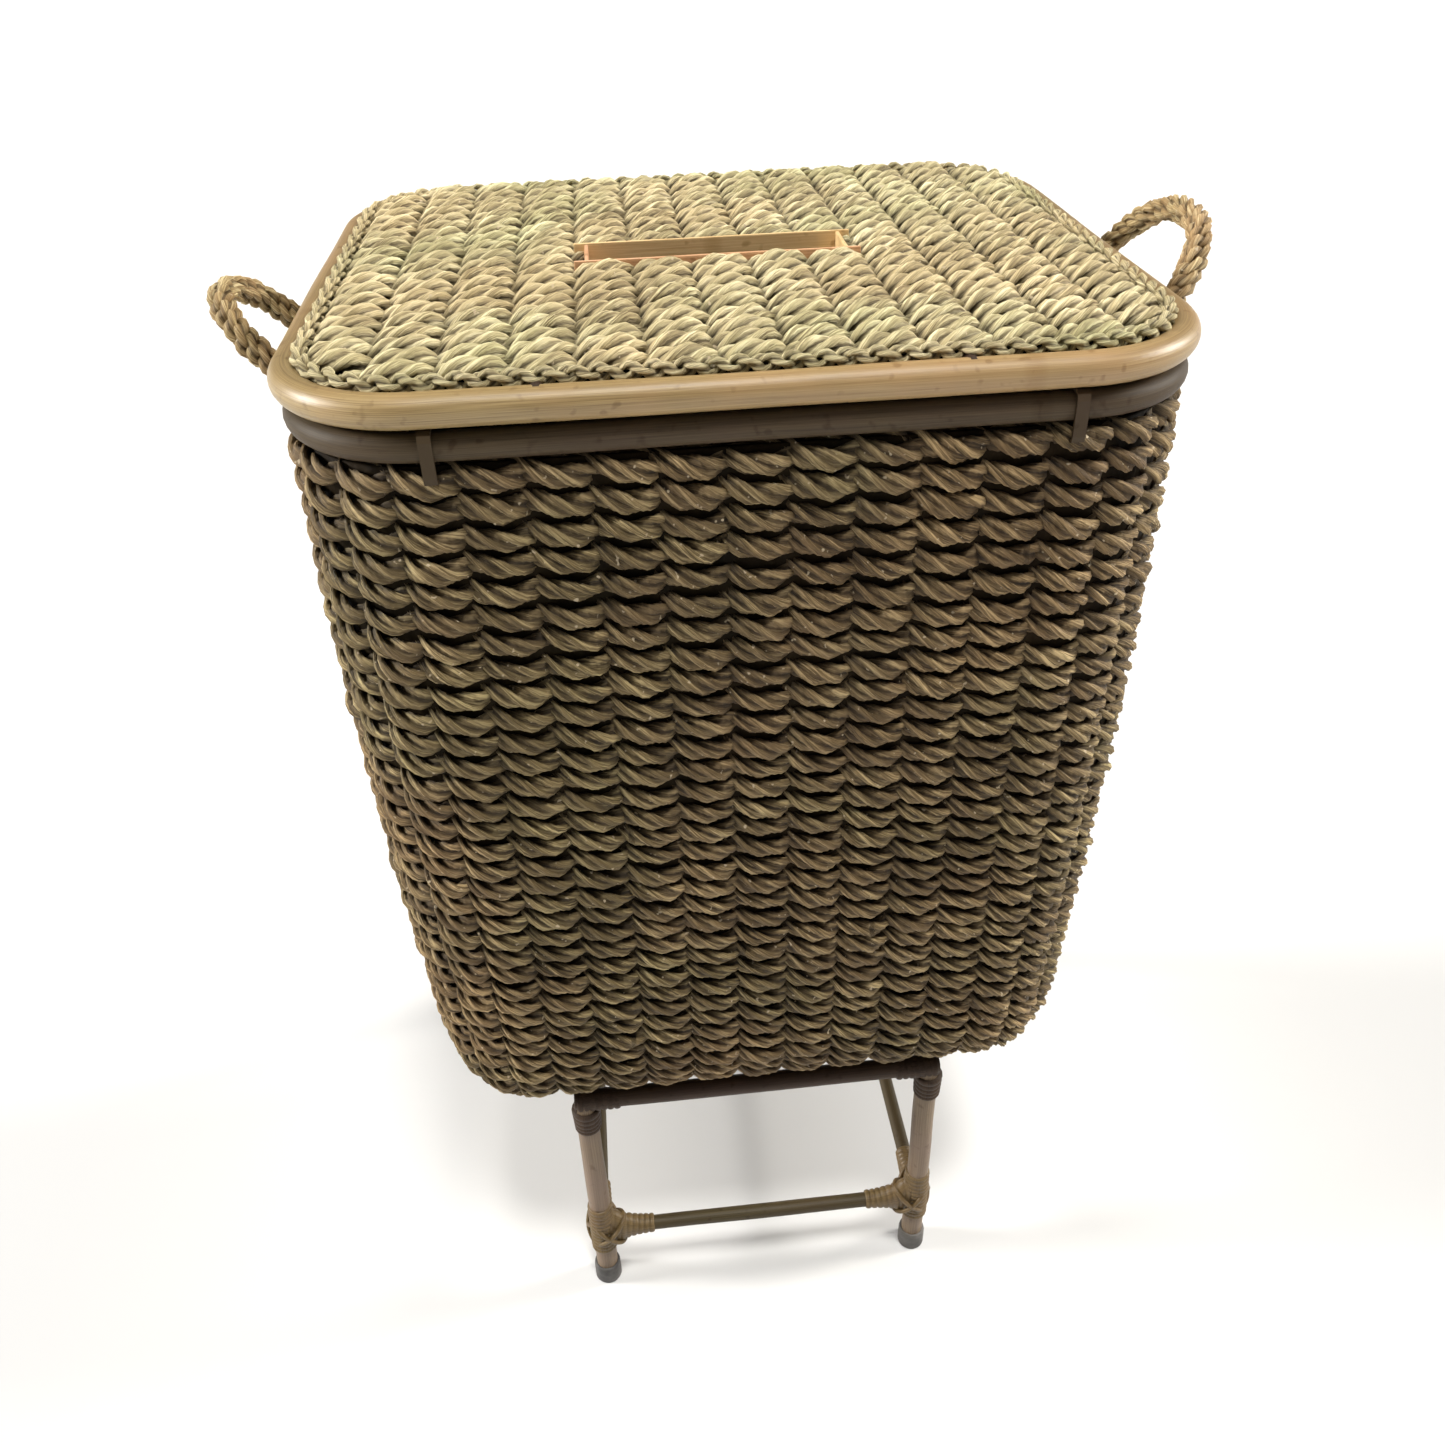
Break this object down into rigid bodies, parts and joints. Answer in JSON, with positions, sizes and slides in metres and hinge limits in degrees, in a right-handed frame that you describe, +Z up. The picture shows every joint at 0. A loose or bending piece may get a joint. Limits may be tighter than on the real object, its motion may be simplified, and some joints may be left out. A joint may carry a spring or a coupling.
{
  "type": "woven laundry basket",
  "caption": "Twined seagrass laundry basket on a four-legged rattan stand, with a lift-off lid that has a hand slot and a stiff rope loop handle on each side.",
  "frame": {"origin": "on the floor under the middle of the object's bounding box", "axes": "+Z up, the front faces -Y, the rope handles are at -X and +X"},
  "size_m": [0.5477, 0.386, 0.7433],
  "materials": {
    "cane": "satin, golden tan, peeled round rattan",
    "dark_cane": "satin, brown rattan in the shade of the basket",
    "binding": "split cane binding wound tight round the joints",
    "strip": "thin peeled cane strips and ties",
    "seagrass": "matte, twined two-ply seagrass cord, olive straw",
    "lid_seagrass": "matte, twined two-ply seagrass cord, pale straw",
    "rope": "matte, laid seagrass rope",
    "cap": "matte grey foot cap"
  },
  "bodies": {
    "basket": {"leg_front_left": "cane", "binding_lower_front_left": "binding", "binding_upper_front_left": "dark_cane", "foot_cap_front_left": "cap", "leg_front_right": "cane", "binding_lower_front_right": "binding", "binding_upper_front_right": "dark_cane", "foot_cap_front_right": "cap", "leg_rear_left": "cane", "binding_lower_rear_left": "binding", "binding_upper_rear_left": "dark_cane", "foot_cap_rear_left": "cap", "leg_rear_right": "cane", "binding_lower_rear_right": "binding", "binding_upper_rear_right": "dark_cane", "foot_cap_rear_right": "cap", "stand_rail_front": "dark_cane", "stretcher_front": "cane", "stand_rail_rear": "dark_cane", "stretcher_rear": "cane", "stand_rail_left": "dark_cane", "stretcher_left": "cane", "stand_rail_right": "dark_cane", "stretcher_right": "cane", "woven_body": "seagrass", "woven_base": "seagrass", "basket_rim": "cane", "inner_rim": "dark_cane", "base_hoop": "dark_cane", "rim_tie_front_left": "strip", "base_tie_front_left": "strip", "corner_post_front_left": "dark_cane", "rim_tie_front_right": "strip", "base_tie_front_right": "strip", "corner_post_front_right": "dark_cane", "rim_tie_rear_left": "strip", "base_tie_rear_left": "strip", "corner_post_rear_left": "dark_cane", "rim_tie_rear_right": "strip", "base_tie_rear_right": "strip", "corner_post_rear_right": "dark_cane", "base_bar_left": "dark_cane", "handle_tail_left": "rope", "base_bar_right": "dark_cane", "handle_tail_right": "rope"},
    "lid": {"lid_rim": "cane", "lid_border_rope": "lid_seagrass", "lid_panel": "lid_seagrass", "lid_bar_left": "dark_cane", "lid_bar_right": "dark_cane", "slot_strip_left": "strip", "slot_strip_right": "strip", "slot_strip_front": "strip", "slot_strip_rear": "strip", "lid_inner_hoop": "dark_cane"},
    "handle_left": {"handle_loop_left": "rope"},
    "handle_right": {"handle_loop_right": "rope"}
  },
  "joints": [
    {"name": "lid_lift", "type": "slide", "parent": "basket", "child": "lid", "axis": [0, 0, 1], "range_m": [0, 0.12]},
    {"name": "handle_left_flex", "type": "hinge", "parent": "basket", "child": "handle_left", "pos_m": [-0.2244, 0, 0.6779], "axis": [0, -1, 0], "range_deg": [-20, 40], "stiffness_Nm_per_rad": 0.3},
    {"name": "handle_right_flex", "type": "hinge", "parent": "basket", "child": "handle_right", "pos_m": [0.2244, 0, 0.6779], "axis": [0, 1, 0], "range_deg": [-20, 40], "stiffness_Nm_per_rad": 0.3}
  ]
}
